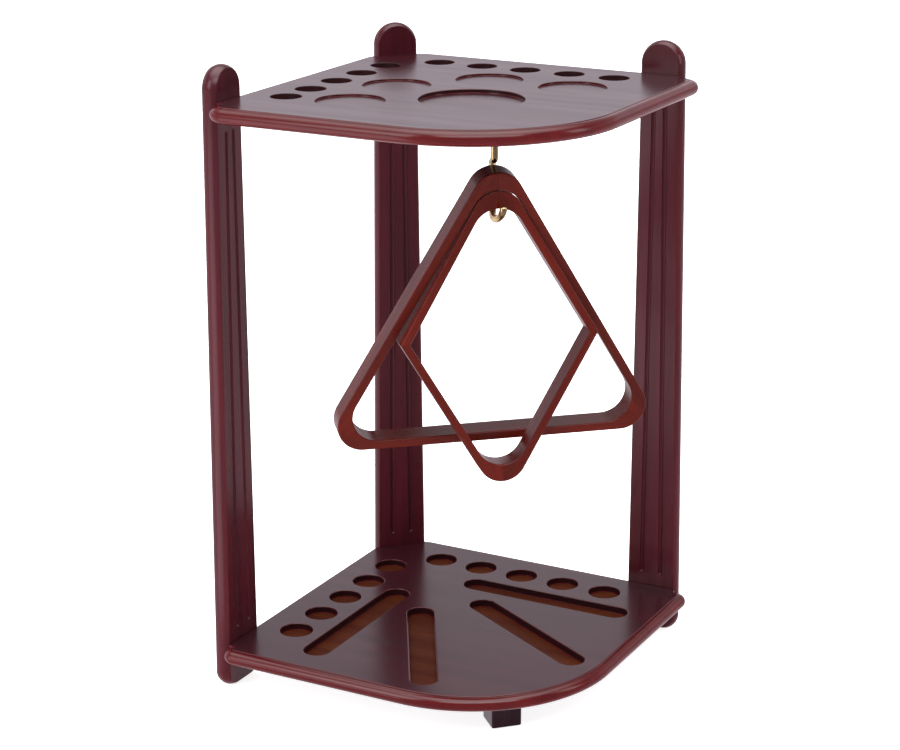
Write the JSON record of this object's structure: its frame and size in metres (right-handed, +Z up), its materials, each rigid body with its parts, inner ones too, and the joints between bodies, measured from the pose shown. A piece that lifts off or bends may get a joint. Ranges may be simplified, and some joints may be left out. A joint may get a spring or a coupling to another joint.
{
  "type": "corner cue and ball rack with hanging triangle and diamond",
  "caption": "Corner floor rack in dark lacquered wood: drilled upper shelf and slotted lower shelf hold cues and balls, and a brass hook carries a ball triangle and a ball diamond.",
  "frame": {"origin": "centre of the bounding box on the floor", "axes": "+Z up, +Y to the wall corner at the back, -Y to the rounded front, +X to the right seen from the front"},
  "size_m": [0.5396, 0.4606, 0.6769],
  "materials": {
    "shelf_top": "gloss lacquered mahogany",
    "shelf_bottom": "gloss lacquered mahogany with bare brown pocket floors",
    "post_wood": "gloss lacquered mahogany",
    "foot_wood": "dark lacquered wood",
    "triangle_wood": "gloss lacquered mahogany",
    "diamond_wood": "gloss lacquered mahogany",
    "brass": "polished",
    "screw_metal": "satin yellow-plated"
  },
  "bodies": {
    "stand": {"top_shelf": "shelf_top", "bottom_shelf": "shelf_bottom", "left_post": "post_wood", "right_post": "post_wood", "back_post": "post_wood", "front_foot": "foot_wood", "hook": "brass", "left_post_screw_1": "screw_metal", "left_post_screw_2": "screw_metal", "left_post_screw_3": "screw_metal", "left_post_screw_4": "screw_metal", "right_post_screw_1": "screw_metal", "right_post_screw_2": "screw_metal", "right_post_screw_3": "screw_metal", "right_post_screw_4": "screw_metal", "back_post_screw_1": "screw_metal", "back_post_screw_2": "screw_metal", "back_post_screw_3": "screw_metal", "back_post_screw_4": "screw_metal"},
    "triangle": {"triangle_rail_left": "triangle_wood", "triangle_rail_bottom": "triangle_wood", "triangle_rail_right": "triangle_wood"},
    "diamond": {"diamond_rail_upper_left": "diamond_wood", "diamond_rail_upper_right": "diamond_wood", "diamond_rail_lower_left": "diamond_wood", "diamond_rail_lower_right": "diamond_wood"}
  },
  "joints": [
    {"name": "triangle_swing", "type": "hinge", "parent": "stand", "child": "triangle", "pos_m": [0, -0.1406, 0.5641], "axis": [0.9967, -0.0811, 0], "range_deg": [-35, 35]},
    {"name": "diamond_swing", "type": "hinge", "parent": "stand", "child": "diamond", "pos_m": [0, -0.1406, 0.5641], "axis": [0.9967, -0.0811, 0], "range_deg": [-35, 35]}
  ],
  "couplings": [
    {"joint": "diamond_swing", "follows": "triangle_swing", "ratio": 1}
  ]
}
